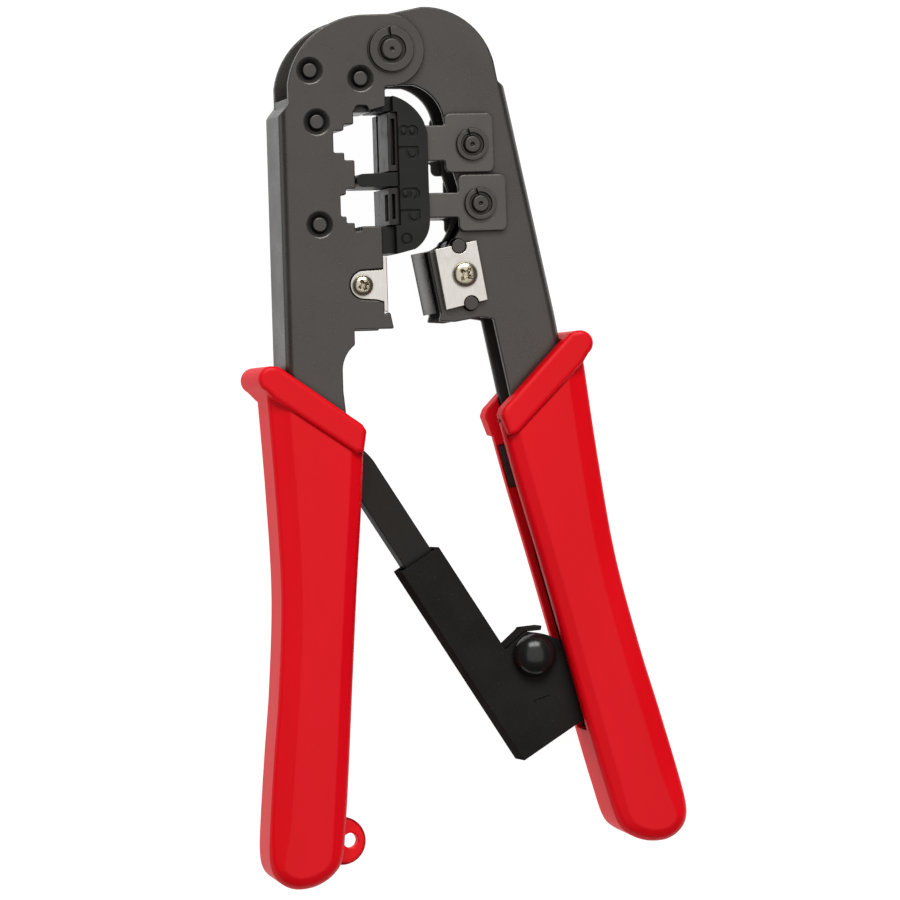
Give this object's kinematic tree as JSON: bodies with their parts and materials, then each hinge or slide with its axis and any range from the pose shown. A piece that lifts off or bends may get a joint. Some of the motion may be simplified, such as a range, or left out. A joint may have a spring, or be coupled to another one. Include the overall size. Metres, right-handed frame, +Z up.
{
  "type": "modular plug crimping tool",
  "caption": "Hand-held ratchet crimping tool for modular network and telephone plugs, with two plug openings, a cable cutter and moulded handles",
  "frame": {"origin": "middle of the underside of the open tool lying on its back", "axes": "+Z up through the thickness, the marked face on top; +Y from the handles towards the head; +X towards the moving arm"},
  "size_m": [0.0846, 0.1724, 0.0206],
  "materials": {
    "frame_steel": "fine-grained black coating over pressed sheet steel",
    "fastener_steel": "black oxide",
    "guide_plastic": "moulded, fine matt grain",
    "pusher_steel": "black oxide, slightly worn",
    "punch_steel": "ground and blued",
    "contact_steel": "ground",
    "blade_steel": "ground, with a fine edge",
    "nickel_plate": "satin nickel plate",
    "screw_plate": "worn yellow zinc plate",
    "grip_red": "satin moulded PVC",
    "link_steel": "black oxide",
    "dark_steel": "deep black oxide",
    "spring_steel": "drawn wire",
    "knob_plastic": "polished"
  },
  "bodies": {
    "left_arm": {"left_frame": "frame_steel", "die_block": "frame_steel", "die_rivets": "fastener_steel", "punch_guide": "guide_plastic", "fixed_blade": "nickel_plate", "fixed_blade_mount": "pusher_steel", "fixed_blade_screw": "screw_plate", "left_grip": "grip_red", "main_pivot_pin": "fastener_steel", "pivot_washer": "fastener_steel", "pivot_clip": "fastener_steel", "bar_pin": "fastener_steel", "bar_spacers": "fastener_steel"},
    "right_arm": {"right_frame": "frame_steel", "pivot_bushing": "fastener_steel", "opening_spring": "spring_steel", "pusher_8p": "pusher_steel", "pusher_6p": "pusher_steel", "pusher_pins": "fastener_steel", "pusher_clips": "fastener_steel", "moving_blade": "blade_steel", "blade_holder": "dark_steel", "blade_clamp_plate": "nickel_plate", "blade_dowels": "fastener_steel", "moving_blade_screw": "screw_plate", "right_grip": "grip_red", "housing_pin": "fastener_steel", "housing_washers": "fastener_steel"},
    "ram_8p": {"punch_8p": "punch_steel", "contact_comb_8p": "contact_steel"},
    "ram_6p": {"punch_6p": "punch_steel", "contact_comb_6p": "contact_steel"},
    "link_bar": {"ratchet_bar": "link_steel"},
    "link_housing": {"ratchet_housing": "dark_steel", "pawl_spring": "dark_steel"},
    "pawl_unit": {"pawl": "link_steel", "release_knob": "knob_plastic"}
  },
  "joints": [
    {"name": "handle_hinge", "type": "hinge", "parent": "left_arm", "child": "right_arm", "pos_m": [-0.01338, 0.07778, 0.0103], "axis": [0, 0, -1], "range_deg": [0, 8.5], "stiffness_Nm_per_rad": 0.6, "springref_deg": -20.05},
    {"name": "bar_hinge", "type": "hinge", "parent": "left_arm", "child": "link_bar", "pos_m": [-0.02798, -0.00122, 0.0103], "axis": [0, 0, -1], "range_deg": [0, 18]},
    {"name": "housing_hinge", "type": "hinge", "parent": "right_arm", "child": "link_housing", "pos_m": [0.02526, -0.0438, 0.0103], "axis": [0, 0, -1], "range_deg": [0, 9.5]},
    {"name": "pawl_hinge", "type": "hinge", "parent": "link_housing", "child": "pawl_unit", "pos_m": [0.01272, -0.04216, 0.0103], "axis": [0, 0, -1], "range_deg": [0, 13], "stiffness_Nm_per_rad": 0.02, "springref_deg": -11.46},
    {"name": "punch_8p_slide", "type": "slide", "parent": "left_arm", "child": "ram_8p", "axis": [-1, 0, 0], "range_m": [0, 0.0019]},
    {"name": "punch_6p_slide", "type": "slide", "parent": "left_arm", "child": "ram_6p", "axis": [-1, 0, 0], "range_m": [0, 0.0025]}
  ],
  "couplings": [
    {"joint": "bar_hinge", "follows": "handle_hinge", "ratio": 2.1},
    {"joint": "housing_hinge", "follows": "handle_hinge", "ratio": 1.1},
    {"joint": "punch_8p_slide", "follows": "handle_hinge", "m_per_rad": 0.012133},
    {"joint": "punch_6p_slide", "follows": "handle_hinge", "m_per_rad": 0.016178}
  ]
}
